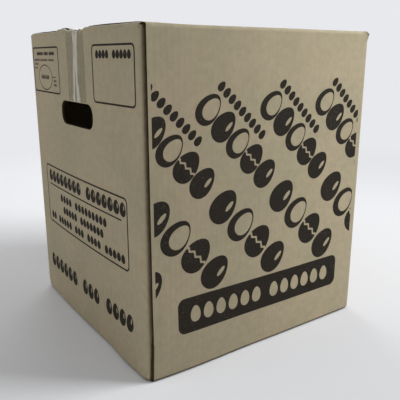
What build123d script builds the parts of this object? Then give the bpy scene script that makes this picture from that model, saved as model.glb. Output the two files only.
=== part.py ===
from build123d import *
import math
import os

# Egg shipping box: one slotted blank of corrugated board, folded up and glued into a box, with a strip of
# clear tape over its top seam. X runs along the seam, Y across it and Z up. The origin is the middle of the
# underside. All sizes are in millimetres.

os.makedirs("parts", exist_ok=True)

# Outside of the box, from corner to corner
case_length = 311.0
case_width = 311.0
case_height = 364.0

# Corrugated board, two liners with a fluted sheet between them, and the bend that its scored folds take
board = 3.0
liner = 0.5
inner_bend = 1.0
slit_depth = 2.0

# The filled box has pushed its panels out, the end panels more than the side panels
end_bow = 4.0
side_bow = 1.5

# Flaps: the outer pair hangs on the side panels and the inner pair on the end panels. The slots between them
# are cut to just short of the middle of the folds, and the corners tear a little way into the bends.
corner_notch = 4.0
slot_overrun = 0.5
corner_tear = 0.2
seam_gap = 1.2
inner_seam_gap = 2.0
flap_clearance = 0.3

# The top outer flaps crown up between their folds and the tape, which holds them down along the seam
flap_crown = 1.4
seam_rise = 0.2
crown_radius = 2000.0

# All flaps are scored on one line, so the end panels fold just below the outer faces of the outer flaps. From
# that fold their own flaps are pressed back, at this angle, to lie under the outer ones. So deep a fold breaks
# into a few short turns.
top_fold_step = 0.3
bottom_fold_step = 0.2
press_angle = math.radians(40)
deep_turns = 4
turn_radius = 2.0

# Glue tab behind the near corner. The raw edge in front of it reaches a little past the line of the slots.
joint_reach = 0.5
tab_width = 34.0
tab_taper = 9.0

# Hand holes in both end panels
hand_hole_width = 91.0
hand_hole_height = 28.0
hand_hole_corner = 12.0
hand_hole_centre_height = 270.0

# Clear tape
tape_width = 50.0
tape_thickness = 0.12
tape_clearance = 0.05
tape_offset = -6.0
tape_stop = 1.0
tape_crease = 0.5

# What follows from these sizes. A corner point lies on the middle of the board's thickness.
fold_radius = inner_bend + board / 2
outer_bend = inner_bend + board
flute_height = board - 2 * liner
corner_x = case_length / 2 - board / 2
corner_y = case_width / 2 - board / 2
outer_flap_edge = case_length / 2 - corner_notch
inner_flap_edge = case_width / 2 - corner_notch
joint_flap_edge = inner_flap_edge - board
top_outer_level = case_height - board / 2
top_inner_level = case_height - board - flap_clearance - board / 2
bottom_outer_level = board / 2
bottom_inner_level = board + board / 2
top_end_fold = top_outer_level - top_fold_step
bottom_end_fold = bottom_outer_level + bottom_fold_step
wall_top = top_outer_level - fold_radius - slot_overrun
wall_bottom = bottom_outer_level + fold_radius + slot_overrun
slot_end = fold_radius * math.pi / 4 - slot_overrun
corner_top = top_outer_level - fold_radius + slot_end
corner_bottom = bottom_outer_level + fold_radius - slot_end
press_overshoot = fold_radius * (math.tan(press_angle) + 1 / math.cos(press_angle) - 1)
turn_angle = (math.pi / 2 + press_angle) / deep_turns
turn_distance = fold_radius / math.cos(turn_angle / 2)
flap_reach = case_width / 2 + side_bow
up = Vector(0, 0, 1)


def bow_radius(chord, rise):
    """Radius of the arc of a panel whose middle stands out by the rise."""
    return (chord * chord / 4 + rise * rise) / (2 * rise)


# Plan of the walls along the middle of the board. The line starts at the raw edge of the near side panel, which
# is in one line with the sides of its flaps, goes round the box and ends in the glue tab, which lies one board
# inside that panel.
front_radius = bow_radius(2 * corner_x, side_bow)
front_centre = (0, front_radius - side_bow - corner_y)
raw_edge = outer_flap_edge + joint_reach
raw_edge_y = front_centre[1] - math.sqrt(front_radius**2 - raw_edge**2)
tab_radius = front_radius - board
joint_y = front_centre[1] - math.sqrt(tab_radius**2 - corner_x**2)
joint_angle = math.degrees(math.acos(-corner_x / tab_radius))
tab_sweep = math.degrees(tab_width / tab_radius)
tab_shoulder = outer_bend - corner_x
end_radius = bow_radius(2 * corner_y, end_bow)
joint_end_radius = bow_radius(corner_y - joint_y, end_bow)

with BuildLine() as wall_line:
    front_line = RadiusArc((-raw_edge, raw_edge_y), (corner_x, -corner_y), -front_radius)
    right_line = RadiusArc((corner_x, -corner_y), (corner_x, corner_y), -end_radius)
    back_line = RadiusArc((corner_x, corner_y), (-corner_x, corner_y), -front_radius)
    left_line = RadiusArc((-corner_x, corner_y), (-corner_x, joint_y), -joint_end_radius)
    tab_line = CenterArc(front_centre, tab_radius, -joint_angle, tab_sweep)
    Line(tab_line @ 1, front_line @ 0)
    folds = [line @ 1 for line in (front_line, right_line, back_line, left_line)]
    fillet([wall_line.vertices().sort_by_distance(fold)[0] for fold in folds], radius=fold_radius)

arcs = wall_line.edges().filter_by(GeomType.CIRCLE).sort_by(SortBy.LENGTH)
fold_arcs = arcs[:4]
tab_arc = arcs[4]
panel_arcs = arcs[5:]
front_panel = panel_arcs.sort_by(Axis.Y)[0]
back_panel = panel_arcs.sort_by(Axis.Y)[-1]
left_panel = panel_arcs.sort_by(Axis.X)[0]
right_panel = panel_arcs.sort_by(Axis.X)[-1]

# Glue tab, with both ends cut at a slant so that it slides in between the flaps
with BuildPart() as glue_tab:
    with BuildSketch(Plane.XY.offset(wall_bottom)):
        trace(tab_arc, line_width=board)
    extrude(amount=wall_top - wall_bottom)
    with BuildSketch(Plane.XZ):
        Polygon(
            (-corner_x, wall_bottom),
            (tab_shoulder, wall_bottom),
            (-corner_x + tab_width, wall_bottom + tab_taper),
            (-corner_x + tab_width, wall_top - tab_taper),
            (tab_shoulder, wall_top),
            (-corner_x, wall_top),
            align=None,
        )
    extrude(amount=case_width, mode=Mode.INTERSECT)


def bent_board(panel, section, bends, thickness, low, high):
    """Board of this thickness, bent along the section, that follows a bowed panel and is cut to a plan."""
    widest = max(case_length, case_width) / 2
    spread = math.degrees(widest / (panel.radius - widest - end_bow))
    start = (panel @ 0.5 - panel.arc_center).normalized().rotate(Axis.Z, -spread)
    with BuildPart() as strip:
        with BuildSketch(Plane(origin=panel.arc_center, x_dir=start, z_dir=start.cross(up))):
            with BuildLine():
                FilletPolyline(*section, radius=bends)
            trace(line_width=thickness)
        revolve(axis=Axis(panel.arc_center, up), revolution_arc=2 * spread)
        with BuildSketch(Plane.XY):
            Polygon(low, (high[0], low[1]), high, (low[0], high[1]), align=None)
        extrude(amount=2 * case_height, both=True, mode=Mode.INTERSECT)
    return strip.part


def outer_flap(panel, low_edge, hinge_level, level, crowned):
    """Flap of a side panel, as far as the seam, with the open flutes along its two cut sides."""
    side = math.copysign(1, (panel @ 0.5).Y)
    radius = panel.radius
    section = [(radius, hinge_level), (radius, level)]
    bends = [fold_radius]
    if crowned:
        section += [(radius - flap_reach / 2, level + flap_crown), (radius - flap_reach, level + seam_rise)]
        bends += [crown_radius]
    else:
        section += [(radius - flap_reach, level)]
    seam = side * seam_gap / 2
    far = side * case_width
    with BuildPart() as flap:
        add(bent_board(panel, section, bends, board, (low_edge, seam), (outer_flap_edge, far)))
        for edge in (low_edge, outer_flap_edge):
            low = (edge - slit_depth, seam - side)
            high = (edge + slit_depth, far)
            add(bent_board(panel, section, bends, flute_height, low, high), mode=Mode.SUBTRACT)
    return flap.part


def inner_flap(panel, hinge_level, fold_level, level, low_edge):
    """Flap of an end panel, pressed back from its fold to lie against the outer flaps from inside."""
    side = math.copysign(1, (panel @ 0.5).X)
    outward = math.copysign(1, fold_level - level)
    reach = case_length / 2 + end_bow
    radius = panel.radius
    section = [(radius, hinge_level)]
    for turn in range(deep_turns):
        angle = (turn + 0.5) * turn_angle
        across = radius - fold_radius + turn_distance * math.cos(angle)
        section.append((across, fold_level + outward * (turn_distance * math.sin(angle) - fold_radius)))
    foot = radius - (abs(fold_level - level) + press_overshoot) / math.tan(press_angle)
    section += [(foot, level), (radius - reach, level)]
    bends = [turn_radius] * deep_turns + [fold_radius]
    seam = (side * inner_seam_gap / 2, low_edge)
    return bent_board(panel, section, bends, board, seam, (side * case_length, inner_flap_edge))


with BuildPart() as carton:
    with BuildSketch(Plane.XY.offset(wall_bottom)):
        for arc in fold_arcs + panel_arcs:
            trace(arc, line_width=board)
    extrude(amount=wall_top - wall_bottom)
    with BuildSketch(Plane.XY.offset(corner_bottom)):
        for arc in fold_arcs:
            tear = corner_tear / arc.length
            trace(arc.trim(tear, 1 - tear), line_width=board)
    extrude(amount=corner_top - corner_bottom)
    add(glue_tab.part)

    # The flaps hinge on the walls, top and bottom. The bottom ones are glued to each other.
    for panel, low_edge in ((front_panel, -raw_edge), (back_panel, -outer_flap_edge)):
        add(outer_flap(panel, low_edge, wall_top, top_outer_level, crowned=True))
        add(outer_flap(panel, low_edge, wall_bottom, bottom_outer_level, crowned=False))
    for panel, low_edge in ((left_panel, -joint_flap_edge), (right_panel, -inner_flap_edge)):
        add(inner_flap(panel, wall_top, top_end_fold, top_inner_level, low_edge))
        add(inner_flap(panel, wall_bottom, bottom_end_fold, bottom_inner_level, low_edge))

    # Open flutes along the raw edge of the near side panel
    with BuildSketch(Plane.XY.offset(wall_bottom)):
        trace(front_panel, line_width=flute_height)
        with Locations((-raw_edge, raw_edge_y)):
            Rectangle(2 * slit_depth, board, mode=Mode.INTERSECT)
    extrude(amount=wall_top - wall_bottom, mode=Mode.SUBTRACT)

    # Hand holes
    with BuildSketch(Plane.YZ):
        with Locations((0, hand_hole_centre_height)):
            RectangleRounded(hand_hole_width, hand_hole_height, hand_hole_corner)
    extrude(amount=case_length, both=True, mode=Mode.SUBTRACT)

carton.part.label = "carton"
export_step(carton.part, "parts/carton.step")

# The tape runs up one end panel, round its fold, over the cut edge of the outer flaps and along the seam.
# It is pulled tight from the fold to that edge, and it bridges the shallow valley of the seam.
tape_gap = tape_clearance + tape_thickness / 2
tape_bend = outer_bend + tape_gap
tape_end = case_length / 2 + end_bow + tape_gap
tape_low = hand_hole_centre_height + hand_hole_height / 2 + tape_stop
valley_slope = (flap_crown - seam_rise) / (flap_reach / 2)
tape_side = tape_width / 2 + abs(tape_offset)
tape_top = case_height + seam_rise + valley_slope * tape_side + tape_gap
tape_edge = raw_edge + 2 * tape_gap
fold_x = case_length / 2 + end_bow - outer_bend
fold_z = top_end_fold - fold_radius
edge_distance = math.hypot(tape_edge - fold_x, tape_top - fold_z)
edge_angle = math.atan2(tape_top - fold_z, tape_edge - fold_x)
wrap_angle = edge_angle - math.acos(tape_bend / edge_distance)
tape_shoulder = fold_z + tape_bend * math.tan(wrap_angle / 2)

with BuildPart() as top_tape:
    with BuildSketch(Plane.XZ.offset(-tape_offset)):
        with BuildLine():
            FilletPolyline(
                (-tape_end, tape_low),
                (-tape_end, tape_shoulder),
                (-tape_edge, tape_top),
                (tape_edge, tape_top),
                (tape_end, tape_shoulder),
                (tape_end, tape_low),
                radius=[tape_bend, tape_crease, tape_crease, tape_bend],
            )
        trace(line_width=tape_thickness)
    extrude(amount=tape_width / 2, both=True)

top_tape.part.label = "top_tape"
export_step(top_tape.part, "parts/top_tape.step")
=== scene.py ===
# %% [markdown]
# # An egg shipping box
#
# The box is one sheet of corrugated board that is slotted, scored, folded up and glued, with a strip of
# clear tape over its top seam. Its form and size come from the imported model. This lesson gives it what the
# eye looks for in board: shallow ripples, open flutes at the cut edges, worn folds, print, and tape that
# creased as it was laid.

import math

import bmesh
import bpy
from mathutils import Matrix, Vector, noise
from mathutils.bvhtree import BVHTree


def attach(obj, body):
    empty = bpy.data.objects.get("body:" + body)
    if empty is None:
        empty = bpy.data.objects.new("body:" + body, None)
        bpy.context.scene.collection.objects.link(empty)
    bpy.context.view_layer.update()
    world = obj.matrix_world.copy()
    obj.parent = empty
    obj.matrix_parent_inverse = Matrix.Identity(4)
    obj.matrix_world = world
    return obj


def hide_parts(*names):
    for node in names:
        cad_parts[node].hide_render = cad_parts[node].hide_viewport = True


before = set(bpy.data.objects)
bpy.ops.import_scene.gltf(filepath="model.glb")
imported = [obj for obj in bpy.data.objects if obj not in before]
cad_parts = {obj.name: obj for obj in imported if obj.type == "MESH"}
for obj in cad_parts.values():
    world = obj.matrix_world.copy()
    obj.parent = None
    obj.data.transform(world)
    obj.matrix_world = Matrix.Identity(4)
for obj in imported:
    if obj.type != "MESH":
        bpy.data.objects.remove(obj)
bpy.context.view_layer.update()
print("Nodes:", ", ".join(sorted(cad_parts)))

# %% [markdown]
# ## The sizes that the box is drawn from
#
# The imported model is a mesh, and it doesn't say how it was drawn. A few sizes of the real box bring that
# back: the outside from corner to corner, the board and its bends, how far the load has pushed out the
# middle of each panel, and where the slots and the glue joint are. Everything below is worked out from
# them, in metres.

# %% Sizes of the box
mm = 0.001
case = 311 * mm
case_height = 364 * mm
board = 3 * mm
inner_bend = 1 * mm
outer_bend = inner_bend + board
side_bow = 1.5 * mm
end_bow = 4 * mm
corner_notch = 4 * mm
joint_reach = 0.5 * mm
slot_overrun = 0.5 * mm
print("Outside", case, "by", case_height, "m, board", board, "m")

# %% Places that follow from the sizes
half_case = case / 2
fold_radius = inner_bend + board / 2
fold = half_case - board / 2
flap_edge = half_case - corner_notch
joint_edge = flap_edge + joint_reach
top_level = case_height - board / 2
bottom_level = board / 2
wall_top = top_level - fold_radius - slot_overrun
wall_bottom = bottom_level + fold_radius + slot_overrun
print("The walls stand from", round(wall_bottom, 4), "to", round(wall_top, 4), "m")

# %% [markdown]
# ## The camera
#
# The photograph looks down a little at the near corner, from just below the height of the lid. A camera is
# set by where it stands, where it looks and its lens, which is given in millimetres for a sensor 36 mm
# wide. These numbers were found by matching the outline of the box to the photograph's. A camera looks
# along its own -Z axis, so it is turned until that axis points the right way.

# %% Camera
camera_place = Vector((-0.3987, -0.5946, 0.3348))
camera_heading = math.radians(55.18)
camera_pitch = math.radians(-14.983)
camera_lens = 48.25
sensor_width = 36
nearest_seen = 0.01


def aim(thing, direction):
    """Turns a camera or a lamp so that it looks this way."""
    thing.rotation_euler = direction.to_track_quat("-Z", "Y").to_euler()


level = math.cos(camera_pitch)
look_x = level * math.cos(camera_heading)
look_y = level * math.sin(camera_heading)
camera_data = bpy.data.cameras.new("camera")
camera_data.lens = camera_lens
camera_data.sensor_width = sensor_width
camera_data.clip_start = nearest_seen
camera = bpy.data.objects.new("camera", camera_data)
camera.location = camera_place
aim(camera, Vector((look_x, look_y, math.sin(camera_pitch))))
bpy.context.scene.collection.objects.link(camera)
bpy.context.scene.camera = camera
bpy.context.scene.view_settings.view_transform = "Standard"
print("Camera at", tuple(round(c, 3) for c in camera_place), "with a lens of", camera_lens, "mm")

# %% [markdown]
# ## Helpers for shader nodes
#
# A material is a small network of nodes. Making each node takes the same few steps: create it, choose its
# settings, then fill or connect its inputs. One helper does all three, so that a material reads as a list
# of what it is made of. The others make the few nodes that nearly every material here needs.


# %% Shader node helpers
def add_node(tree, kind, inputs=None, **settings):
    """Adds a node. An input is given a value, or is connected if it is given another node's output."""
    node = tree.nodes.new(kind)
    for name, value in settings.items():
        setattr(node, name, value)
    for name, value in (inputs or {}).items():
        if isinstance(value, bpy.types.NodeSocket):
            tree.links.new(value, node.inputs[name])
        else:
            node.inputs[name].default_value = value
    return node


def new_material(name):
    """An empty material with its output node. Returns the material, its tree and that node."""
    material = bpy.data.materials.new(name)
    material.use_nodes = True
    tree = material.node_tree
    tree.nodes.clear()
    return material, tree, add_node(tree, "ShaderNodeOutputMaterial")


def math_node(tree, operation, first, second=0.0):
    """Output of a Math node with these two inputs."""
    return add_node(tree, "ShaderNodeMath", {0: first, 1: second}, operation=operation).outputs[0]


def ramp(tree, value, low, high, to_low=0.0, to_high=1.0):
    """Output that goes smoothly from one level to another while the value goes from low to high."""
    inputs = {"Value": value, "From Min": low, "From Max": high, "To Min": to_low, "To Max": to_high}
    return add_node(tree, "ShaderNodeMapRange", inputs, interpolation_type="SMOOTHSTEP").outputs["Result"]


def object_place(tree):
    """Output of a point's place on its object, in metres."""
    return add_node(tree, "ShaderNodeTexCoord").outputs["Object"]


print("Node helpers ready")

# %% [markdown]
# ## Floor, backdrop and light
#
# The photograph has a pale sweep with no horizon. A curved sheet of paper would look right from one side
# only. So a wide floor fades into the backdrop's colour with its distance from the box, and the world
# shows that colour to the camera and to glossy surfaces, while it lights the box at a plain level. The
# floor's colour carries painted light on the left, where less light falls, and painted shade on the right.
# One soft lamp stands high on the right, a weak one fills the left, and a third one lightens the floor
# behind the box.

# %% Rays that see the backdrop
backdrop_colour = (0.807, 0.815, 0.847, 1)


def seen_directly(tree):
    """1 for rays from the camera, in gloss or through glass, and 0 for those that carry light."""
    rays = add_node(tree, "ShaderNodeLightPath").outputs
    seen = math_node(tree, "MAXIMUM", rays["Is Camera Ray"], rays["Is Glossy Ray"])
    return math_node(tree, "MAXIMUM", seen, rays["Is Transmission Ray"])


print("Backdrop colour:", backdrop_colour[:3])

# %% Floor
floor_colour = (0.855, 0.865, 0.89)
floor_size = 14.0
floor_roughness = 0.6
fade_start = 0.3
fade_end = 1.6
floor_right = (0.82, -0.57, 0)
# Painted light on the left of the floor and painted shade on its right, spread over this reach either side
# of the box.
painted_tone_reach = 0.6
painted_light_left = 1.10
painted_shade_right = 0.90

floor_mesh = bmesh.new()
bmesh.ops.create_grid(floor_mesh, x_segments=1, y_segments=1, size=floor_size / 2)
floor_data = bpy.data.meshes.new("floor")
floor_mesh.to_mesh(floor_data)
floor_mesh.free()
floor = bpy.data.objects.new("floor", floor_data)
bpy.context.scene.collection.objects.link(floor)

floor_material, tree, output = new_material("studio_floor")
place = object_place(tree)
sideways = add_node(tree, "ShaderNodeVectorMath", {0: place, 1: floor_right}, operation="DOT_PRODUCT")
# The floor's colour carries painted light and shade across it
tone = ramp(tree, sideways.outputs["Value"], -painted_tone_reach, painted_tone_reach, painted_light_left, painted_shade_right)
paper = add_node(tree, "ShaderNodeVectorMath", {0: floor_colour, "Scale": tone}, operation="SCALE")
matt = add_node(tree, "ShaderNodeBsdfDiffuse", {"Color": paper.outputs[0], "Roughness": floor_roughness})
glow = add_node(tree, "ShaderNodeEmission", {"Color": backdrop_colour, "Strength": 1.0})
distance = add_node(tree, "ShaderNodeVectorMath", {0: place}, operation="LENGTH").outputs["Value"]
faded = ramp(tree, distance, fade_start, fade_end)
share = math_node(tree, "MULTIPLY", faded, seen_directly(tree))
mixed = add_node(tree, "ShaderNodeMixShader", {0: share, 1: matt.outputs[0], 2: glow.outputs[0]})
tree.links.new(mixed.outputs[0], output.inputs["Surface"])
floor_data.materials.append(floor_material)
print("Floor fades into the backdrop from", fade_start, "to", fade_end, "m")

# %% World
ambient_level = 0.33

world = bpy.data.worlds.new("studio")
bpy.context.scene.world = world
world.use_nodes = True
tree = world.node_tree
tree.nodes.clear()
soft = add_node(tree, "ShaderNodeBackground", {"Color": (1, 1, 1, 1), "Strength": ambient_level})
pale = add_node(tree, "ShaderNodeBackground", {"Color": backdrop_colour, "Strength": 1.0})
mix_inputs = {0: seen_directly(tree), 1: soft.outputs[0], 2: pale.outputs[0]}
mixed = add_node(tree, "ShaderNodeMixShader", mix_inputs)
add_node(tree, "ShaderNodeOutputWorld", {"Surface": mixed.outputs[0]})
print("The world lights the box at", ambient_level)

# %% Lamps
lamp_target = Vector((0, 0, 0.2))


def add_lamp(name, place, size, power):
    """A square soft lamp that points at the box, with its size in metres and its power in watts."""
    data = bpy.data.lights.new(name, "AREA")
    data.shape = "SQUARE"
    data.size = size
    data.energy = power
    lamp = bpy.data.objects.new(name, data)
    lamp.location = place
    aim(lamp, lamp_target - Vector(place))
    bpy.context.scene.collection.objects.link(lamp)
    print(name, "of", power, "W")


add_lamp("key_lamp", place=(0.80, -0.60, 1.02), size=0.6, power=15.0)
add_lamp("fill_lamp", place=(-1.5, 0.3, 0.9), size=1.2, power=3.8)
add_lamp("back_lamp", place=(0.50, 1.15, 1.0), size=0.8, power=8.0)

# %% [markdown]
# ## Where a point of a panel is
#
# A filled box bulges, so each panel is a piece of a wide cylinder. Print and dents are easier to think of
# on the flat panel, as so far across and so far up. A modifier could bend each piece on its own, but then
# they wouldn't fit each other. So a small class turns such a place into a point in space. It also adds the
# long shallow ripples that board takes, and the board and all that lies on it bend together. The ripples
# are noise, which is read at a place: the numbers that aren't lengths there only pick another part of it.

# %% Panels
top_fold_step = 0.3 * mm
bottom_fold_step = 0.2 * mm
ripple_height = 0.35 * mm
ripple_length = 62 * mm
ripple_stretch = 1.5
ripple_margin = 34 * mm


def smooth(value):
    """0 below 0, 1 above 1 and an even S between them."""
    value = min(max(value, 0.0), 1.0)
    return value * value * (3 - 2 * value)


class Panel:
    """A bowed wall seen from outside. Across runs to the right from its middle, and up is height."""

    def __init__(self, quarter, bow, high_step=0.0, low_step=0.0, overlap=0.0):
        """A wall this many quarter turns from the front one, with its folds set in by the two steps."""
        self.high_fold = top_level - high_step - fold_radius
        self.low_fold = bottom_level + low_step + fold_radius
        self.chord = 2 * fold - overlap
        self.middle = -overlap / 2
        self.radius = (self.chord**2 / 4 + bow**2) / (2 * bow)
        self.centre = fold + bow - self.radius
        self.turn = Matrix.Rotation(quarter * math.pi / 2, 3, "Z")
        self.quarter = quarter

    def ripple(self, across, up):
        """How far the face stands off its even bow, which is nothing at the folds."""
        edge = min(half_case - abs(across), up, case_height - up)
        spot = Vector((across / ripple_length, up / (ripple_stretch * ripple_length), 7.3 * self.quarter))
        return ripple_height * smooth(edge / ripple_margin) * noise.noise(spot)

    def point(self, across, up, out=0.0):
        """The point that stands this far out from the outer face."""
        reach = self.radius + board / 2
        angle = math.asin((across - self.middle) / reach)
        reach += out + self.ripple(across, up)
        flat = Vector((self.middle + reach * math.sin(angle), -self.centre - reach * math.cos(angle), up))
        return self.turn @ flat

    def locate(self, point):
        """Across, and distance from the axis of the bow, of a point in space."""
        flat = self.turn.transposed() @ point
        return flat.x, math.hypot(flat.x - self.middle, -flat.y - self.centre)


panels = {
    "front": Panel(0, side_bow),
    "right": Panel(1, end_bow, top_fold_step, bottom_fold_step),
    "back": Panel(2, side_bow),
    "left": Panel(3, end_bow, top_fold_step, bottom_fold_step, overlap=board),
}
for panel_name, panel in panels.items():
    print(panel_name, "panel stands out to", round(panel.point(0, case_height / 2).length * 1000, 1), "mm")

# %% [markdown]
# ## The board
#
# The model's board has the right form, but a few flat facets stand for each bow. Dividing those would only
# give more flat faces, and smoothing them would round off the cut edges. So a copy of the board is merged,
# cut by a grid of planes into small faces, and each point is then moved to the curve that it stands for.
# That keeps every flap, slot and hole, and leaves enough points for the ripples and for the knocks of a
# used box.

# %% A finely divided copy of the board
grid_step = 8 * mm
merge_distance = 0.001 * mm
flat_angle = math.radians(0.05)
near_fold = [half_case + d * mm for d in (-4, -2.5, -1.2, -0.4, 0.8, 2, 3.2)]
near_flap = [d * mm for d in (0.4, 1, 1.9, 3)]


def even_steps(low, high, step):
    """Places between low and high, about a step apart."""
    count = math.ceil((high - low) / step)
    return [low + (high - low) * k / count for k in range(1, count)]


def cut_through(bm, places, axis):
    """Cuts the whole mesh at these places along an axis."""
    normal = Vector((0, 0, 0))
    normal[axis] = 1
    for place in places:
        geometry = bm.verts[:] + bm.edges[:] + bm.faces[:]
        bmesh.ops.bisect_plane(
            bm, geom=geometry, dist=merge_distance, plane_co=normal * place, plane_no=normal
        )


board_mesh = bmesh.new()
board_mesh.from_mesh(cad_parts["carton"].data)
bmesh.ops.remove_doubles(board_mesh, verts=board_mesh.verts, dist=merge_distance)
bmesh.ops.dissolve_limit(
    board_mesh, angle_limit=flat_angle, verts=board_mesh.verts, edges=board_mesh.edges
)
across_cuts = even_steps(-flap_edge, flap_edge, grid_step) + near_fold + [-place for place in near_fold]
up_cuts = even_steps(wall_bottom, wall_top, grid_step) + [wall_bottom, wall_top]
up_cuts += near_flap + [case_height - top_fold_step - d for d in near_flap]
for axis, places in ((0, across_cuts), (1, across_cuts), (2, up_cuts)):
    cut_through(board_mesh, places, axis)
print("Board:", len(board_mesh.verts), "points,", len(board_mesh.faces), "faces")

# %% Curves of the walls and of their folds
facet_error = 0.16 * mm
fold_facet_error = 0.6 * mm


def settle(distance, targets, error=facet_error):
    """The radius that a faceted distance stands for, or the distance itself."""
    nearest = min(targets, key=lambda target: abs(distance - target))
    return nearest if abs(distance - nearest) < error else distance


def settle_panel(panel, point):
    """Puts a point of a wall, or of the fold above or below it, on its curve and adds the ripple."""
    across, reach = panel.locate(point)
    if reach - panel.radius < -fold_radius or abs(across - panel.middle) > panel.chord / 2 - fold_radius:
        return point
    flat = panel.turn.transposed() @ point
    if flat.y > 0:
        return point
    up = point.z
    if panel.low_fold <= up <= panel.high_fold:
        new_reach = settle(reach, (panel.radius + board / 2, panel.radius - board / 2))
    else:
        hinge = min(max(up, panel.low_fold), panel.high_fold)
        out = reach - (panel.radius - fold_radius)
        bend = math.hypot(out, up - hinge)
        # The end flaps are folded deeper than the outer ones, in a few short turns with coarser facets.
        deep = abs(point.x) > joint_edge and abs(point.y) < fold - fold_radius - board - merge_distance
        stretch = settle(bend, (outer_bend, inner_bend), fold_facet_error if deep else facet_error) / bend
        new_reach = panel.radius - fold_radius + out * stretch
        up = hinge + (up - hinge) * stretch
    new_reach += panel.ripple(across, up)
    along = (across - panel.middle) / reach
    away = (-flat.y - panel.centre) / reach
    return panel.turn @ Vector((panel.middle + new_reach * along, -panel.centre - new_reach * away, up))


print("Facets within", facet_error, "m of a curve are moved on to it")

# %% Move the points to the true curves
slot_end = fold_radius * math.pi / 4 - slot_overrun
corner_top = top_level - fold_radius + slot_end
corner_bottom = bottom_level + fold_radius - slot_end


def settle_corner(point):
    """Puts a point of an upright fold on its round."""
    centre_x = fold - fold_radius
    centre_y = fold - fold_radius
    if point.x < 0 and point.y < 0:
        centre_y -= board
    out_x = abs(point.x) - centre_x
    out_y = abs(point.y) - centre_y
    if out_x <= 0 or out_y <= 0 or not corner_bottom <= point.z <= corner_top:
        return point
    bend = math.hypot(out_x, out_y)
    stretch = settle(bend, (outer_bend, inner_bend)) / bend
    new_x = math.copysign(centre_x + out_x * stretch, point.x)
    new_y = math.copysign(centre_y + out_y * stretch, point.y)
    return Vector((new_x, new_y, point.z))


for vert in board_mesh.verts:
    place = settle_corner(vert.co)
    for panel in panels.values():
        place = settle_panel(panel, place)
    vert.co = place
print("Points moved to the curves of the panels and folds")

# %% [markdown]
# ## Knocks and lifted edges
#
# This box has been carried about. Its lower corners are crushed a little, the load has pushed its foot out
# on both sides of the near corner, one top corner is torn, and the cut sides of the top flaps have sprung
# up beside the tape. Each could be sculpted by hand, but a short list can be read and changed. A knock is a
# centre, how far it reaches, where it pushes the board, and how much it crumples it. A lift is the end of
# the box, the stretch of the flap's side that has risen, how far it fades beyond each end of that stretch,
# how far it fades into the flap, and its height, all in millimetres.

# %% Knocks of use
knocks = [
    (Vector((-half_case, half_case, 0)), 15 * mm, Vector((0.9, -0.9, 1.8)) * mm, 0.6),
    (Vector((-half_case, -half_case, 0)), 14 * mm, Vector((0.5, 0.2, 0.2)) * mm, 0.5),
    (Vector((-half_case - mm, -half_case + 12 * mm, 0)), 18 * mm, Vector((-1.9, 0, 0)) * mm, 0.0),
    (Vector((half_case, -half_case, 0)), 9 * mm, Vector((-0.5, 0.5, 0.7)) * mm, 0.4),
    (Vector((half_case, -flap_edge, case_height)), 11 * mm, Vector((3.2, -1.2, 0)) * mm, 0.0),
    (Vector((half_case, half_case, 0)), 24 * mm, Vector((-1.2, -1.2, 1.6)) * mm, 0.6),
    (Vector((half_case, half_case, case_height)), 18 * mm, Vector((-0.8, -0.8, -0.6)) * mm, 0.6),
    (Vector((-half_case, -half_case + 38 * mm, 0)), 66 * mm, Vector((-4.2, 0, 0)) * mm, 0.0),
    (Vector((-half_case + 45 * mm, -half_case, 0)), 95 * mm, Vector((0, -2.2, 0)) * mm, 0.0),
]
lifts = [
    (-1, (-138, -32), (28, 9), 60, 1.7),
    (-1, (33, 46), (14, 11), 18, 2.2),
    (-1, (128, 150), (40, 8), 40, 0.5),
    (1, (-60, -44), (20, 20), 16, 0.8),
]
crumple_scale = 260
flap_underside = case_height - board - 0.15 * mm
flap_wave = 0.3 * mm
wave_scale = 14
wave_margin = 30 * mm


def knocked(point, on_top_flap):
    """Where a point of the board ends up after the knocks and lifts."""
    shift = Vector((0, 0, 0))
    for centre, reach, push, crumple in knocks:
        near = smooth(1 - (point - centre).length / reach)
        shift += push * near * (1 + crumple * noise.noise(point * crumple_scale))
    if on_top_flap:
        for end, stretch, fades, depth, height in lifts:
            below = max(stretch[0] * mm - point.y, 0) / (fades[0] * mm)
            above = max(point.y - stretch[1] * mm, 0) / (fades[1] * mm)
            inside = max(flap_edge - end * point.x, 0) / (depth * mm)
            shift.z += height * mm * smooth(1 - below) * smooth(1 - above) * smooth(1 - inside)
        inside = smooth((half_case - abs(point.y)) / wave_margin)
        shift.z += flap_wave * inside * noise.noise(Vector((point.x, point.y, 0)) * wave_scale)
    return point + shift


for vert in board_mesh.verts:
    vert.co = knocked(vert.co, vert.co.z > flap_underside)
print(len(knocks), "knocks and", len(lifts), "lifted places")

# %% [markdown]
# ## From a mesh to a piece of the box
#
# A finished mesh becomes an object that rides on the box. More faces would make its bends look round, but
# shading does that for nothing: faces are shaded smooth, and only edges sharper than an angle stay crisp,
# as folds and cuts in board do.

# %% Turn a mesh into a piece
sharp_angle = math.radians(35)


def make_piece(bm, name, material):
    """Makes an object of a finished bmesh, shades it smooth up to an angle, and lets it ride on the box."""
    data = bpy.data.meshes.new(name)
    bm.to_mesh(data)
    bm.free()
    data.materials.append(material)
    data.shade_smooth()
    data.set_sharp_from_angle(angle=sharp_angle)
    piece = bpy.data.objects.new(name, data)
    bpy.context.scene.collection.objects.link(piece)
    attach(piece, "root")
    print(name, "has", sum(len(p.vertices) - 2 for p in data.polygons), "triangles")
    return piece


print("Edges over", round(math.degrees(sharp_angle)), "degrees stay sharp")

# %% [markdown]
# ## Kraft board as a material
#
# Kraft liner is unbleached paper. Its colour wanders in clouds, long fibres run across the panels, darker
# specks of bark sit in it, and the flutes below print through as faint upright stripes. A picture of board
# could be laid on, but it would repeat and blur up close, so noise of each of these sizes is mixed instead.
# The stripes have to turn with the panels, so they follow a UV map that is the flat blank in metres, and
# the rest reads Object coordinates. Nearly all of a noise's values lie between 0.3 and 0.7, so two more
# helpers spread those out.

# %% Helpers for paper
noise_low = 0.3
noise_high = 0.7


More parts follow.
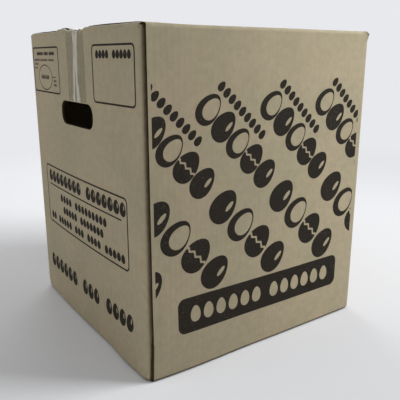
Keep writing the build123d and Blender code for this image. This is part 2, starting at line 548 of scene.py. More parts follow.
def noise_at(tree, place, scale, detail):
    """Output of a noise texture."""
    inputs = {"Vector": place, "Scale": scale, "Detail": detail}
    return add_node(tree, "ShaderNodeTexNoise", inputs).outputs[0]


def spread(tree, value, to_low=0.0, to_high=1.0):
    """Output of a noise that is spread from one level to another."""
    return ramp(tree, value, noise_low, noise_high, to_low, to_high)


def vary(tree, value, share):
    """Output of a noise that is spread this far below and above 1, to multiply with."""
    return spread(tree, value, 1 - share, 1 + share)


def mix_colours(tree, share, first, second):
    """Output that goes from the first colour to the second as the share goes from 0 to 1."""
    return add_node(tree, "ShaderNodeMix", {0: share, 6: first, 7: second}, data_type="RGBA").outputs[2]


def add_bump(tree, height, depth, below=None):
    """Output of a bump this deep, on top of another one if that is given."""
    inputs = {"Height": height, "Strength": 1.0, "Distance": depth}
    if below is not None:
        inputs["Normal"] = below
    return add_node(tree, "ShaderNodeBump", inputs).outputs[0]


def add_surface(tree, output, colour, rough, bump, gloss, **more):
    """Gives the material a surface. Gloss is the strength of its reflections."""
    inputs = {"Base Color": colour, "Roughness": rough, "Normal": bump, "Specular IOR Level": gloss}
    shader = add_node(tree, "ShaderNodeBsdfPrincipled", {**inputs, **more})
    tree.links.new(shader.outputs[0], output.inputs["Surface"])


print("Noise is spread from", noise_low, "to", noise_high)

# %% Relief of the board
flute_pitch = 6.5 * mm
fibre_scale = (260, 1500, 1)


def blank_coordinates(tree):
    """The place on the flat blank, in metres across and along the flutes."""
    return add_node(tree, "ShaderNodeUVMap", uv_map="blank").outputs["UV"]


def board_relief(tree, flute_depth, grain_depth):
    """Stripes of the flutes, fibres, and the bump that both give. Returns the three outputs."""
    blank = blank_coordinates(tree)
    across = add_node(tree, "ShaderNodeSeparateXYZ", {0: blank}).outputs["X"]
    wave = math_node(tree, "SINE", math_node(tree, "MULTIPLY", across, 2 * math.pi / flute_pitch))
    patches = noise_at(tree, object_place(tree), scale=11, detail=2)
    clear = ramp(tree, patches, low=0.35, high=0.7, to_low=0.1, to_high=1.0)
    flutes = math_node(tree, "MULTIPLY", wave, clear)
    stretched = add_node(tree, "ShaderNodeMapping", {"Vector": blank, "Scale": fibre_scale})
    fibre_inputs = {"Vector": stretched.outputs[0], "Scale": 1, "Detail": 4, "Roughness": 0.6}
    fibres = add_node(tree, "ShaderNodeTexNoise", fibre_inputs, noise_dimensions="2D").outputs[0]
    bump = add_bump(tree, fibres, grain_depth, below=add_bump(tree, flutes, flute_depth))
    return flutes, fibres, bump


print("Flutes every", flute_pitch, "m")

# %% Colour of the paper
kraft_warm = (0.436, 0.365, 0.242, 1)
kraft_cool = (0.400, 0.349, 0.230, 1)
speck_colour = (0.20, 0.165, 0.105, 1)
# Painted light and shade: a side panel is painted dull on its left and bright towards its right, and the end
# panels a little darker all over.
painted_shade_side = 0.79
painted_light_side = 0.97
painted_light_from = 0.7 * half_case
painted_shade_ends = 0.915
mottle_share = 0.045
fibre_share = 0.04
flute_share = 0.015


def painted_light_tone(tree):
    """Output of painted light and shade: an even painted shade on the end panels, and painted shade that
    turns to painted light across a side panel.
    """
    across = add_node(tree, "ShaderNodeSeparateXYZ", {0: blank_coordinates(tree)}).outputs["X"]
    painted_side_light = ramp(tree, across, -half_case, painted_light_from, painted_shade_side, painted_light_side)
    facing = add_node(tree, "ShaderNodeTexCoord").outputs["Normal"]
    sideways = add_node(tree, "ShaderNodeSeparateXYZ", {0: facing}).outputs["Y"]
    on_side = ramp(tree, math_node(tree, "ABSOLUTE", sideways), low=0.3, high=0.9)
    return add_node(tree, "ShaderNodeMix", {0: on_side, 2: painted_shade_ends, 3: painted_side_light}).outputs[0]


def kraft_colour(tree, flutes, fibres):
    """Output of the paper's colour."""
    place = object_place(tree)
    clouds = noise_at(tree, place, scale=13, detail=3)
    mottle = noise_at(tree, place, scale=150, detail=4)
    specks = noise_at(tree, place, scale=900, detail=1)
    paper = mix_colours(tree, ramp(tree, clouds, low=0.35, high=0.65), kraft_cool, kraft_warm)
    fleck = ramp(tree, specks, low=0.70, high=0.80, to_low=0.0, to_high=0.55)
    flecked = mix_colours(tree, fleck, paper, speck_colour)
    shade = math_node(tree, "MULTIPLY", vary(tree, mottle, mottle_share), vary(tree, fibres, fibre_share))
    stripes = ramp(tree, flutes, low=-1.0, high=1.0, to_low=1 - flute_share, to_high=1 + flute_share)
    shade = math_node(tree, "MULTIPLY", shade, stripes)
    # Painted light and shade of each panel
    shade = math_node(tree, "MULTIPLY", shade, painted_light_tone(tree))
    return add_node(tree, "ShaderNodeHueSaturation", {"Color": flecked, "Value": shade}).outputs[0]


print("Kraft from", kraft_cool[:3], "to", kraft_warm[:3])

# %% Board material
scuff_colour = (0.52, 0.465, 0.345, 1)
# Painted shade, with some grime at the glue joint, darkens the liner to this colour.
shade_grime_colour = (0.080, 0.052, 0.026, 1)


def with_shade_and_grime(tree, colour, dark):
    """Output of this colour, darkened where the attribute of painted shade and grime says so."""
    shade_and_grime = add_node(tree, "ShaderNodeAttribute", attribute_name="shade_and_grime").outputs["Fac"]
    blots = noise_at(tree, object_place(tree), scale=220, detail=4)
    covered = math_node(tree, "MULTIPLY", shade_and_grime, spread(tree, blots, to_low=0.85))
    return mix_colours(tree, covered, colour, dark)


def kraft_material():
    """Liner of the board, scuffed pale along its folds, and darkened by painted shade and some grime where
    its attributes say so.
    """
    material, tree, output = new_material("kraft_liner")
    flutes, fibres, bump = board_relief(tree, flute_depth=0.03 * mm, grain_depth=0.05 * mm)
    paper = kraft_colour(tree, flutes, fibres)
    worn = add_node(tree, "ShaderNodeAttribute", attribute_name="wear").outputs["Fac"]
    rubbing = noise_at(tree, object_place(tree), scale=85, detail=5)
    rubbed = ramp(tree, rubbing, low=0.42, high=0.66, to_low=0.03, to_high=0.4)
    scuffed = mix_colours(tree, math_node(tree, "MULTIPLY", worn, rubbed), paper, scuff_colour)
    # Painted shade of the joint's crevice, the foot, the torn corner and the hand holes, with some grime at
    # the joint
    colour = with_shade_and_grime(tree, scuffed, shade_grime_colour)
    rough = spread(tree, fibres, to_low=0.72, to_high=0.88)
    add_surface(tree, output, colour, rough, bump, gloss=0.3)
    return material


kraft = kraft_material()
print("Material:", kraft.name)

# %% Material of cut edges and flutes
# Colours of the cut edges: darker than the liner, partly their own fibres and partly painted shade of the
# open flutes.
edge_colour_with_shade = (0.150, 0.118, 0.072, 1)
edge_dark_with_shade = (0.062, 0.044, 0.023, 1)
# The cut edges darken to this colour under painted shade and grime
edge_shade_grime = (0.042, 0.026, 0.012, 1)


def raw_edge_material():
    """Torn fibres of cut board and the fluted sheet: rougher than the liner, and darker, partly from painted
    shade of the open flutes.
    """
    material, tree, output = new_material("raw_board")
    place = object_place(tree)
    fuzz = noise_at(tree, place, scale=700, detail=4)
    patches = noise_at(tree, place, scale=60, detail=2)
    tone = math_node(tree, "MULTIPLY", spread(tree, fuzz), spread(tree, patches, to_low=0.5))
    fibres = mix_colours(tree, tone, edge_dark_with_shade, edge_colour_with_shade)
    # Painted shade, with some grime, as on the liner
    colour = with_shade_and_grime(tree, fibres, edge_shade_grime)
    bump = add_bump(tree, fuzz, depth=0.12 * mm)
    add_surface(tree, output, colour, rough=0.95, bump=bump, gloss=0.15)
    return material


raw_edge = raw_edge_material()
print("Material:", raw_edge.name)

# %% [markdown]
# ## The board's UV map, wear and cut faces
#
# Wear, painted shade and cut edges could be painted on by hand. Rules that read a point's place put them
# exactly on the folds, the glue joint and the cuts instead. The painted shade darkens the glue joint's
# crevice, which also holds some grime, the underside of the foot, a torn top corner and the hand holes'
# rims. A UV map and that shade are stored at each corner of a face, so two faces that meet at a fold may
# differ there. Wear is one number for each point, high along the folds. Faces that a knife made get the raw
# edge's material.


# %% Place of each face on the blank
def blank_place(face, point):
    """Where a point of this face lies on the flat blank. A wall's places run to the right from outside."""
    centre = face.calc_center_median()
    outer_flap = centre.z > flap_underside or centre.z < board
    if outer_flap:
        return point.x, point.y
    upright = wall_bottom < centre.z < wall_top
    if upright and abs(face.normal.y) > abs(face.normal.x):
        return math.copysign(point.x, -point.x * centre.y), point.z
    if upright:
        return math.copysign(point.y, point.y * centre.x), point.z
    if abs(centre.y) > flap_edge:
        return math.copysign(point.x, -point.x * centre.y), point.z
    return math.copysign(point.y, point.y * centre.x), point.x


print("The blank is laid out in metres")

# %% Wear, and painted shade with grime
wear_reach = 5 * mm
# Painted shade reaches this far from the glue joint, up from the floor, and round a torn top corner.
joint_shade_reach = 5.6 * mm
foot_shade_height = 3.8 * mm
foot_shade_level = 0.9
torn_corner = Vector((half_case + 2 * mm, -flap_edge - mm, case_height - 2 * mm))
torn_reach = 5.5 * mm
torn_core = 0.7


def fold_wear(point):
    """1 on an outside fold and 0 away from it."""
    gaps = sorted((half_case - abs(point.x), half_case - abs(point.y), min(point.z, case_height - point.z)))
    return smooth(1 - (abs(gaps[0]) + max(gaps[1], 0)) / wear_reach)


def shade_and_grime_at(point, beside_joint):
    """1 where shade is painted: in the glue joint's crevice, which also holds grime, under the foot of the
    box and round a torn top corner.
    """
    foot = foot_shade_level * smooth((foot_shade_height - point.z) / mm)
    foot = max(foot, smooth(1 + torn_core - (point - torn_corner).length / torn_reach))
    if not beside_joint:
        return foot
    from_joint = math.hypot(point.x + joint_edge, max(point.y + fold - board / 2, 0))
    return max(foot, smooth(1 - from_joint / joint_shade_reach))


print("Folds are worn within", wear_reach, "m")

# %% Crown of the top flaps
flap_crown = 1.4 * mm
seam_rise = 0.2 * mm
crown_radius = 2.0
flap_reach = half_case + side_bow


def crown(across):
    """How far the middle of a top outer flap's board stands above its fold, this far from the seam."""
    half_reach = flap_reach / 2
    from_crest = abs(abs(across) - half_reach)
    fall = flap_crown if abs(across) > half_reach else flap_crown - seam_rise
    turn = (2 * flap_crown - seam_rise) / half_reach
    rounded = max(crown_radius * turn / 2 - from_crest, 0) ** 2 / (2 * crown_radius)
    return flap_crown - fall * from_crest / half_reach - rounded


print("The flaps stand up to", round(crown(flap_reach / 2) * 1000, 2), "mm above their folds")

# %% Faces that a knife made
liner = 0.5 * mm
flute_height = board - 2 * liner
slit_depth = 2 * mm
slit_slack = 0.1 * mm
hole_width = 91 * mm
hole_height = 28 * mm
hole_level = 270 * mm
rim_slack = 0.5 * mm
fold_margin = 2 * mm
edge_on = 0.3
square_on = 0.9


def in_slit(point):
    """Whether a point lies in the open flutes of an outer flap's side, or of the near panel's raw edge."""
    half_height = flute_height / 2 + slit_slack
    side = joint_edge if point.x < 0 and point.y < 0 else flap_edge
    at_side = side - slit_depth - slit_slack < abs(point.x) < side - slit_slack
    top_middle = top_level + crown(point.y)
    if at_side and (abs(point.z - top_middle) < half_height or abs(point.z - bottom_level) < half_height):
        return True
    return point.x < slit_depth + slit_slack - joint_edge and abs(point.y + fold) < half_height


def in_hole_rim(face):
    """Whether this is a face of a hand hole's rim."""
    centre = face.calc_center_median()
    in_hole = abs(centre.y) < hole_width / 2 and abs(centre.z - hole_level) < hole_height / 2 + rim_slack
    return in_hole and abs(face.normal.x) < edge_on and abs(centre.x) > half_case - 2 * board


def is_cut(face):
    """Whether a knife made this face: a hand hole's rim, a flap's side or the near panel's raw edge."""
    centre = face.calc_center_median()
    normal = face.normal
    if in_hole_rim(face):
        return True
    flap_level = centre.z > wall_top or centre.z < wall_bottom
    if flap_level and abs(normal.x) > square_on and abs(centre.x) < half_case - fold_margin:
        return True
    if flap_level and abs(normal.y) > square_on and abs(centre.y) < half_case - fold_margin:
        return True
    at_raw_edge = centre.x < 0 and centre.y < -half_case + board
    return in_slit(centre) or (abs(normal.x) > square_on and at_raw_edge)


print("Flutes are open", slit_depth, "m deep")

# %% Finish the board
# The hand holes' rims are nearly all painted shade
hole_shade_level = 0.95

board_mesh.normal_update()
blank_layer = board_mesh.loops.layers.uv.new("blank")
wear_layer = board_mesh.verts.layers.float.new("wear")
shade_grime_layer = board_mesh.loops.layers.float.new("shade_and_grime")
for face in board_mesh.faces:
    face.material_index = 1 if is_cut(face) else 0
    beyond_joint = face.calc_center_median().x < -joint_edge + merge_distance
    for loop in face.loops:
        loop[blank_layer].uv = blank_place(face, loop.vert.co)
        # Painted shade, with grime at the joint, for each face corner
        shade_and_grime = shade_and_grime_at(loop.vert.co, beyond_joint or face.material_index == 1)
        loop[shade_grime_layer] = max(shade_and_grime, hole_shade_level) if in_hole_rim(face) else shade_and_grime
for vert in board_mesh.verts:
    vert[wear_layer] = fold_wear(vert.co)
board_tree = BVHTree.FromBMesh(board_mesh)
carton_board = make_piece(board_mesh, "carton_board", kraft)
carton_board.data.materials.append(raw_edge)
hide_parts("carton")

# %% [markdown]
# ## Open flutes
#
# A knife that crosses the flutes leaves a wave between two liners, and one that runs along them leaves a
# long groove with one slope of that wave in it. A bump can't show a groove that is seen edge on, so the
# model has it cut in the board. The fluted sheet itself is a thin grid, bent by a rule and given a
# thickness, which is how corrugated paper is made as well.

# %% Sheets bent by a rule
flute_sheet = 0.25 * mm
flute_slack = 0.1 * mm
web_depth = slit_depth - flute_slack
web_drift = 1.6
drift_scale = 9


def add_sheet(bm, columns, rows, place, thickness):
    """Adds a grid whose points are placed by a rule of two shares from 0 to 1, as a thin closed sheet."""
    grid = bmesh.ops.create_grid(bm, x_segments=columns, y_segments=rows, size=0.5)["verts"]
    faces = list(dict.fromkeys(face for vert in grid for face in vert.link_faces))
    for vert in grid:
        vert.co = place(vert.co.x + 0.5, vert.co.y + 0.5)
    bmesh.ops.recalc_face_normals(bm, faces=faces)
    bmesh.ops.solidify(bm, geom=faces, thickness=thickness)


def web(share, along):
    """Height of the fluted sheet in a groove: one slope of the wave, which drifts along the cut."""
    drift = web_drift * noise.noise(Vector((along * drift_scale, 3.1, 0)))
    return (flute_height / 2 - flute_slack) * math.cos(math.pi * share + drift)


def raw_edge_place(share, length):
    """Rule for the sheet in the near panel's raw edge."""
    up = wall_bottom + (wall_top - wall_bottom) * length
    across = -joint_edge + flute_slack + web_depth * (1 - share)
    return knocked(panels["front"].point(across, up, web(share, up) - board / 2), False)


print("The fluted sheet is", flute_sheet, "m thick")

# %% Fill the open edges
seam_gap = 1.2 * mm
web_columns = 5
raw_edge_rows = 70
flap_side_rows = 36


def flap_side_place(end, side, top):
    """Rule for the sheet in an outer flap's cut side, at one end of the box and one side of the seam."""
    edge = joint_edge if end < 0 and side < 0 else flap_edge

    def place(share, length):
        x = end * (edge - flute_slack - web_depth * (1 - share))
        y = side * (seam_gap / 2 + (flap_edge - seam_gap) * length)
        level = top_level + crown(y) if top else bottom_level
        return knocked(Vector((x, y, level + web(share, y + end))), top)

    return place


flute_mesh = bmesh.new()
shade_grime_layer = flute_mesh.verts.layers.float.new("shade_and_grime")
add_sheet(flute_mesh, web_columns, raw_edge_rows, raw_edge_place, flute_sheet)
for end in (-1, 1):
    for side in (-1, 1):
        for top in (False, True):
            add_sheet(flute_mesh, web_columns, flap_side_rows, flap_side_place(end, side, top), flute_sheet)
for vert in flute_mesh.verts:
    # The open flutes take the same painted shade
    vert[shade_grime_layer] = shade_and_grime_at(vert.co, True)
make_piece(flute_mesh, "edge_flutes", raw_edge)

# %% [markdown]
# ## Printed marks
#
# All print is one dark ink, pressed on by a rubber plate. An image of it would blur up close, so each mark
# is a thin film of its own: a circle whose points are moved by a rule, to an egg, a rounded bar or one part
# of a cracked shell. More circles inside the first one become holes when the edges are filled. The marks
# are made flat, in millimetres from the panel's top left corner, and then bent on to the panel like
# everything else.

# %% Outlines of the marks
mark_segments = 36
egg_taper = 0.16
crack_teeth = 6


def oval(width, height, taper=0.0, x=0.0, y=0.0):
    """An oval round x and y, or an egg if it tapers to its top."""

    def rule(angle):
        across = width / 2 * math.cos(angle) * (1 - taper * math.sin(angle))
        return x + across, y + height / 2 * math.sin(angle)

    return rule


def bar(width, height, radius):
    """A rectangle with round corners."""

    def rule(angle):
        across = math.copysign(width / 2 - radius, math.cos(angle)) + radius * math.cos(angle)
        return across, math.copysign(height / 2 - radius, math.sin(angle)) + radius * math.sin(angle)

    return rule


def shell_part(width, height, side, gap, bite):
    """The top or bottom part of an egg that is cracked in a zigzag, a little apart from the other one."""

    def rule(angle):
        turn = angle % (2 * math.pi)
        if turn <= math.pi:
            across = width / 2 * math.cos(turn) * (1 - egg_taper * side * math.sin(turn))
            return across, side * (gap / 2 + height / 2 * math.sin(turn))
        share = turn / math.pi - 1
        tooth = abs((share * crack_teeth) % 2 - 1) - 1
        return width * (share - 0.5), side * gap / 2 + bite * (1 + tooth * 2) / 2

    return rule


print("Each outline has", mark_segments, "points")

# %% Eggs and frames
gleam_size = (0.16, 0.34)
gleam_place = (0.2, 0.12)
pale_size = (0.66, 0.70)
pale_place = (0.09, 0.07)
crack_gap = 0.07
crack_bite = 0.09


def part_of(size, place, width, height, taper=0.0):
    """An oval inside an egg, with its size and its place given as shares of the egg's width and height."""
    return oval(width * size[0], height * size[1], taper, width * place[0], height * place[1])


def plain_egg(width, height):
    """A dark egg."""
    return [[oval(width, height, egg_taper)]]


def whole_egg(width, height):
    """A dark egg with a gleam of bare board."""
    return [[oval(width, height, egg_taper), part_of(gleam_size, gleam_place, width, height)]]


def shaded_egg(width, height):
    """A pale egg whose outline swells to a shadow on one side."""
    return [[oval(width, height, egg_taper), part_of(pale_size, pale_place, width, height, egg_taper)]]


def cracked_egg(width, height):
    """A dark egg in two parts."""
    gap = height * crack_gap
    return [[shell_part(width, height - gap, side, gap, height * crack_bite)] for side in (1, -1)]


def ruled_frame(width, height, radius, line):
    """A frame with round corners."""
    return [[bar(width, height, radius), bar(width - 2 * line, height - 2 * line, radius - line)]]


print("A gleam is", gleam_size[0], "of an egg's width")


# %% Place the marks
def add_mark(bm, parts, u, v, angle=0.0):
    """Fills the outlines of each part at this place, in millimetres from the panel's top left corner."""
    for outlines in parts:
        edges = []
        for rule in outlines:
            ring = bmesh.ops.create_circle(bm, segments=mark_segments, radius=1)["verts"]
            for vert in ring:
                x, y = rule(math.atan2(vert.co.y, vert.co.x))
                across = u + x * math.cos(angle) - y * math.sin(angle)
                down = v - x * math.sin(angle) - y * math.cos(angle)
                vert.co = Vector((across * mm - half_case, case_height - down * mm, 0))
            edges += dict.fromkeys(edge for vert in ring for edge in vert.link_edges)
        bmesh.ops.triangle_fill(bm, use_beauty=True, edges=edges)


def egg_line(bm, draw, size, ends, v, groups):
    """A level line of eggs from one place to another, with a space between the groups."""
    low, high = ends
    width, height = size
    count = sum(groups) + len(groups) - 1
    pitch = (high - low - width) / (count - 1)
    place = low + width / 2
    for group in groups:
        for _ in range(group):
            add_mark(bm, draw(width, height), place, v)
            place += pitch
        place += pitch


def clip_across(bm, low, high):
    """Cuts the print off left and right of these places, as the edge of the printing plate does."""
    for place, side in ((low, -1), (high, 1)):
        geometry = bm.verts[:] + bm.edges[:] + bm.faces[:]
        edge = Vector((place * mm - half_case, 0, 0))
        bmesh.ops.bisect_plane(
            bm, geom=geometry, dist=merge_distance, plane_co=edge, plane_no=(side, 0, 0), clear_outer=True
        )


print("Marks are placed in millimetres")

# %% Bend the print on to a panel
print_step = 10 * mm
ink_lift = 0.03 * mm
ink_film = 0.05 * mm


def bend_on(bm, panel):
    """Gives the flat marks a thickness and bends them on to a panel, with a UV map of the blank."""
    cut_through(bm, even_steps(-half_case, half_case, print_step), 0)
    cut_through(bm, even_steps(0, case_height, print_step), 1)
    bmesh.ops.solidify(bm, geom=bm.faces[:], thickness=ink_film)
    blank_layer = bm.loops.layers.uv.new("blank")
    for face in bm.faces:
        for loop in face.loops:
            loop[blank_layer].uv = loop.vert.co.xy
    for vert in bm.verts:
        out = ink_lift + abs(vert.co.z)
        vert.co = knocked(panel.point(vert.co.x, vert.co.y, out), False)
    bmesh.ops.recalc_face_normals(bm, faces=bm.faces)


print("The ink is", ink_film, "m thick")

# %% [markdown]
# ## Ink on board
#
# Board drinks its ink, so print on it is a dark brown grey and not black, with the liner's own relief. One
# colour would look like a sticker. The ink is mixed with a thinner tone in fine specks, more of them in
# some places than in others.

# %% Ink
ink_colour = (0.020, 0.0155, 0.0115, 1)
thin_ink_colour = (0.095, 0.080, 0.055, 1)


def ink_material():
    """Dark ink that the board drank, missing in specks."""
    material, tree, output = new_material("print_ink")
    _, fibres, bump = board_relief(tree, flute_depth=0.03 * mm, grain_depth=0.03 * mm)
    place = object_place(tree)
    specks = ramp(tree, noise_at(tree, place, scale=650, detail=3), low=0.56, high=0.74)
    clouds = ramp(tree, noise_at(tree, place, scale=45, detail=2), low=0.35, high=0.7, to_low=0.15)
    colour = mix_colours(tree, math_node(tree, "MULTIPLY", specks, clouds), ink_colour, thin_ink_colour)
    rough = spread(tree, fibres, to_low=0.7, to_high=0.85)
    add_surface(tree, output, colour, rough, bump, gloss=0.12)
    return material


ink = ink_material()
print("Material:", ink.name)

# %% [markdown]
# ## Print of the side panels
#
# Slanted rows of eggs in three sizes cover a side panel, over a dark banner with a dozen eggs left bare.
# The rows repeat from column to column and run off both edges of the printing plate, so a loop draws them
# and a plane cuts them off. A row is its drawings, the size of an egg, the first one's place from its
# column, and the step to the next.

# %% Print of the side panels
egg_tilt = math.radians(-45)
first_column = -96
column_pitch = 84
columns = [first_column + column_pitch * k for k in range(6)]
slanted_rows = [
    ((plain_egg,) * 9, (7.8, 11.5), (16, 58), (6.9, 6.6)),
    ((shaded_egg, whole_egg, shaded_egg, cracked_egg, whole_egg), (26, 36), (0, 80), (19.2, 18.6)),
    ((whole_egg, shaded_egg, cracked_egg, whole_egg), (31, 41), (20, 184), (24.5, 24)),
]
plate_left = 7
plate_right = 301
banner = (244, 41, 9)
banner_place = (155.3, 298.2)
bare_egg = (13, 19)
bare_count = 12
bare_pitch = 17.2
bare_split = 5


def side_print():
    """Slanted rows of eggs in three sizes, and a dark banner with a dozen eggs left bare."""
    bm = bmesh.new()
    for column in columns:
        for drawings, size, start, step in slanted_rows:
            for k, draw in enumerate(drawings):
                u = column + start[0] + step[0] * k
                add_mark(bm, draw(*size), u, start[1] + step[1] * k, egg_tilt)
    clip_across(bm, plate_left, plate_right)
    from_middle = [k - (bare_count - 1) / 2 for k in range(bare_count)]
    places = [k * bare_pitch + math.copysign(bare_split, k) for k in from_middle]
    bare = [oval(*bare_egg, egg_taper, place) for place in places]
    add_mark(bm, [[bar(*banner), *bare]], *banner_place)
    return bm


for side in ("front", "back"):
    bm = side_print()
    bend_on(bm, panels[side])
    make_piece(bm, side + "_print", ink)

# %% [markdown]
# ## Print of the end panels
#
# An end panel has two small ruled frames beside the tape, a wide one below the hand hole, and a line of
# larger eggs near its foot. What fills them is small eggs and bars. A frame or bar is its width, height and
# corner, then a frame's line, and its middle across and down. A line of eggs is its drawing, the size of an
# egg, its two ends, its level, and how many eggs are in each group.

# %% Print of the end panels
end_frames = [
    (102.3, 57, 5, 1.9, 57.9, 45.8),
    (90, 60.3, 6, 2, 251, 46.9),
    (240, 82, 7, 2, 151.7, 211),
]
end_bars = [
    (13, 1.0, 0.4, 89.5, 54),
    (215, 1.8, 0.8, 150.5, 196.5),
]
end_lines = [
    (plain_egg, (3, 4.6), (25, 95), 25.5, (8, 5, 6)),
    (plain_egg, (2.2, 3.2), (13, 92), 33.5, (7, 9, 6)),
    (plain_egg, (2.2, 3.2), (13, 30), 38.5, (5,)),
    (plain_egg, (2.2, 3.2), (13, 24), 43.5, (3,)),
    (plain_egg, (4, 5.6), (40, 71), 54.5, (6,)),
    (plain_egg, (2.4, 3.4), (88, 97), 58.5, (3,)),
    (plain_egg, (2.4, 3.4), (88, 97), 63.5, (3,)),
    (plain_egg, (7, 8.6), (215, 289), 26.9, (4, 5)),
    (whole_egg, (13, 16), (43, 268), 184, (8, 7)),
    (plain_egg, (8.6, 10.5), (83, 223), 208.8, (4, 9)),
    (plain_egg, (8.6, 10.5), (91, 214), 224, (5, 7)),
    (plain_egg, (8.6, 10.5), (42, 263), 240.2, (2, 5, 3, 4, 5)),
    (whole_egg, (15, 20), (26.7, 277), 311, (6, 3, 4)),
]
ring_size = (54, 32)
ring_line = 1.2
ring_place = (56, 55)


def end_print():
    """Three ruled frames filled with small eggs and bars, and a line of larger eggs low on the panel."""
    bm = bmesh.new()
    for width, height, corner, line, u, v in end_frames:
        add_mark(bm, ruled_frame(width, height, corner, line), u, v)
    inner_ring = oval(ring_size[0] - 2 * ring_line, ring_size[1] - 2 * ring_line)
    add_mark(bm, [[oval(*ring_size), inner_ring]], *ring_place)
    for width, height, corner, u, v in end_bars:
        add_mark(bm, [[bar(width, height, corner)]], u, v)
    for line in end_lines:
        egg_line(bm, *line)
    return bm


for side in ("left", "right"):
    bm = end_print()
    bend_on(bm, panels[side])
    make_piece(bm, side + "_print", ink)

# %% [markdown]
# ## Clear tape
#
# Tape follows the shortest way over what carries it. A Shrinkwrap modifier would press it into every
# hollow, so its route is worked out in the plane of its length, as if pulled tight: up the end panel, round
# the fold, straight to the cut edge of the outer flaps and along the seam. A grid is laid on that route and
# each point is dropped on the board by a ray. Where the board is deeper, the tape stays on its route and
# bridges the gap. Creases are narrow ridges, and the air under them shows as a milky streak.

# %% Route of the tape
tape_gap = 0.06 * mm
tape_low = 285 * mm


class TapeRoute:
    """Way of the tape over one end of the box, at this place across, from the middle of the top down."""

    def __init__(self, panel, end, across):
        outer = panel.point(end * across, panel.high_fold)
        self.edge = Vector((joint_edge + tape_gap, case_height + crown(across) + tape_gap))
        self.centre = Vector((abs(outer.x) - outer_bend, panel.high_fold))
        self.bend = outer_bend + tape_gap
        away = self.edge - self.centre
        self.wrap = math.atan2(away.y, away.x) - math.acos(self.bend / away.length)
        self.touch = self.centre + self.bend * Vector((math.cos(self.wrap), math.sin(self.wrap)))
        self.top = self.edge.x
        self.slant = (self.touch - self.edge).length
        self.round = self.bend * self.wrap
        self.length = self.top + self.slant + self.round + panel.high_fold - tape_low

    def point(self, run):
        """Place and outward direction in the plane of the route, after this run from the middle."""
        if run < self.top:
            return Vector((run, self.edge.y)), Vector((0, 1))
        run -= self.top
        if run < self.slant:
            out = Vector((math.cos(self.wrap), math.sin(self.wrap)))
            return self.edge.lerp(self.touch, run / self.slant), out
        run -= self.slant
        if run < self.round:
            angle = self.wrap - run / self.bend
            out = Vector((math.cos(angle), math.sin(angle)))
            return self.centre + self.bend * out, out
        return self.centre + Vector((self.bend, self.round - run)), Vector((1, 0))


print("The tape ends", tape_low, "m above the floor")

# %% Creases of the tape
near_creases = [
    ((0, 1.5, 4), (25, -1, 4), (60, 5.5, 3), (80, 7.5, 3.5)),
    ((0, -10, 3), (25, -4, 3.5), (60, -2.5, 3.5), (80, -5, 4.5)),
]
crease_core = 0.6
ragged_share = 0.35
ragged_scale = 90
wander_reach = 9 * mm
wander_scale = 7
other_half_width = 3.5 * mm
width_share = 0.8
width_scale = 16


def between(stations, run):
    """Middle and half width of a crease at this run, from the stations that it goes through."""
    for low, high in zip(stations, stations[1:]):
        if run <= high[0]:
            share = smooth((run - low[0]) / (high[0] - low[0]))
            return low[1] + (high[1] - low[1]) * share, low[2] + (high[2] - low[2]) * share
    return stations[-1][1], stations[-1][2]


def lifted(end, run, across):
    """0 where the tape sticks and 1 on the ridge of a crease. The run is counted from the cut edge down."""
    if end < 0 and run > 0:
        found = 0.0
        for stations in near_creases:
            middle, half_width = between(stations, run * 1000)
            half_width *= 1 + ragged_share * noise.noise(Vector((run * ragged_scale, middle, 1)))
            found = max(found, smooth(1 + crease_core - abs(across * 1000 - middle) / half_width))
        return found
    wander = wander_reach * noise.noise(Vector((run * wander_scale, 2.7 * end, 5)))
    half_width = other_half_width * (1 + width_share * noise.noise(Vector((run * width_scale, 9, end))))
    return smooth(1 + crease_core - abs(across - wander) / half_width)


print(len(near_creases), "creases on the near end")

# %% Lay the tape
tape_width = 50 * mm
tape_middle = -6 * mm
tape_film = 0.05 * mm
tape_step = 1.6 * mm
tape_columns = 56
probe_height = 12 * mm
crease_height = 0.45 * mm

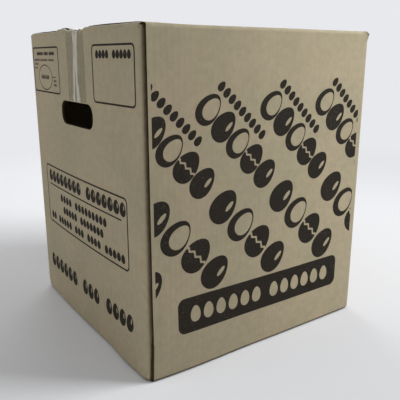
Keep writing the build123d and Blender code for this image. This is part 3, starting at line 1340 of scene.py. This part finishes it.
routes = {}
tape_mesh = bmesh.new()
tape_reach = TapeRoute(panels["left"], -1, tape_middle).length
tape_rows = 2 * math.ceil(tape_reach / tape_step)
lift_layer = tape_mesh.verts.layers.float.new("lift")
grid = bmesh.ops.create_grid(tape_mesh, x_segments=tape_rows, y_segments=tape_columns, size=0.5)["verts"]
for vert in grid:
    end = -1 if vert.co.x < 0 else 1
    across = tape_middle + tape_width * vert.co.y
    key = (end, round(across, 6))
    if key not in routes:
        routes[key] = TapeRoute(panels["left" if end < 0 else "right"], end, across)
    route = routes[key]
    run = 2 * abs(vert.co.x) * route.length
    flat, out = route.point(run)
    place = Vector((end * flat.x, across, flat.y))
    outward = Vector((end * out.x, 0, out.y))
    hit, _, _, distance = board_tree.ray_cast(place + outward * probe_height, -outward)
    clear = max(probe_height + tape_gap - distance, 0.0) if hit else 0.0
    vert[lift_layer] = lifted(end, run - route.top, across - tape_middle)
    vert.co = place + outward * (clear + crease_height * vert[lift_layer])
bmesh.ops.recalc_face_normals(tape_mesh, faces=tape_mesh.faces)
bmesh.ops.solidify(tape_mesh, geom=tape_mesh.faces[:], thickness=tape_film)
print("Tape runs", round(tape_reach * 1000), "mm to each side of its middle")

# %% [markdown]
# ## Tape as a material
#
# Clear film could be made as glass, but so thin a sheet doesn't bend light: it only wets the board under
# it, which looks darker and glossier. A half-clear surface shows just that, and it exports well. Where a
# crease has lifted, the same surface turns milky and covers more.

# %% Tape material
stuck_colour = (0.268, 0.236, 0.124, 1)
milky_colour = (0.82, 0.78, 0.68, 1)
streak_scale = (1, 14, 1)


def tape_material():
    """Clear film: it darkens the board that it sticks to, and turns milky where it has lifted."""
    material, tree, output = new_material("clear_tape")
    place = object_place(tree)
    lift = add_node(tree, "ShaderNodeAttribute", attribute_name="lift").outputs["Fac"]
    streaked = add_node(tree, "ShaderNodeMapping", {"Vector": place, "Scale": streak_scale})
    streaks = noise_at(tree, streaked.outputs[0], scale=60, detail=3)
    grains = noise_at(tree, place, scale=420, detail=3)
    milk = math_node(tree, "MULTIPLY", lift, spread(tree, streaks, to_low=0.55))
    colour = mix_colours(tree, milk, stuck_colour, milky_colour)
    cover = ramp(tree, milk, low=0.0, high=1.0, to_low=0.20, to_high=0.60)
    rough = spread(tree, grains, to_low=0.16, to_high=0.28)
    bump = add_bump(tree, streaks, depth=0.10 * mm)
    add_surface(tree, output, colour, rough, bump, gloss=0.22, Alpha=cover)
    return material


seam_tape = make_piece(tape_mesh, "seam_tape", tape_material())
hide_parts("top_tape")
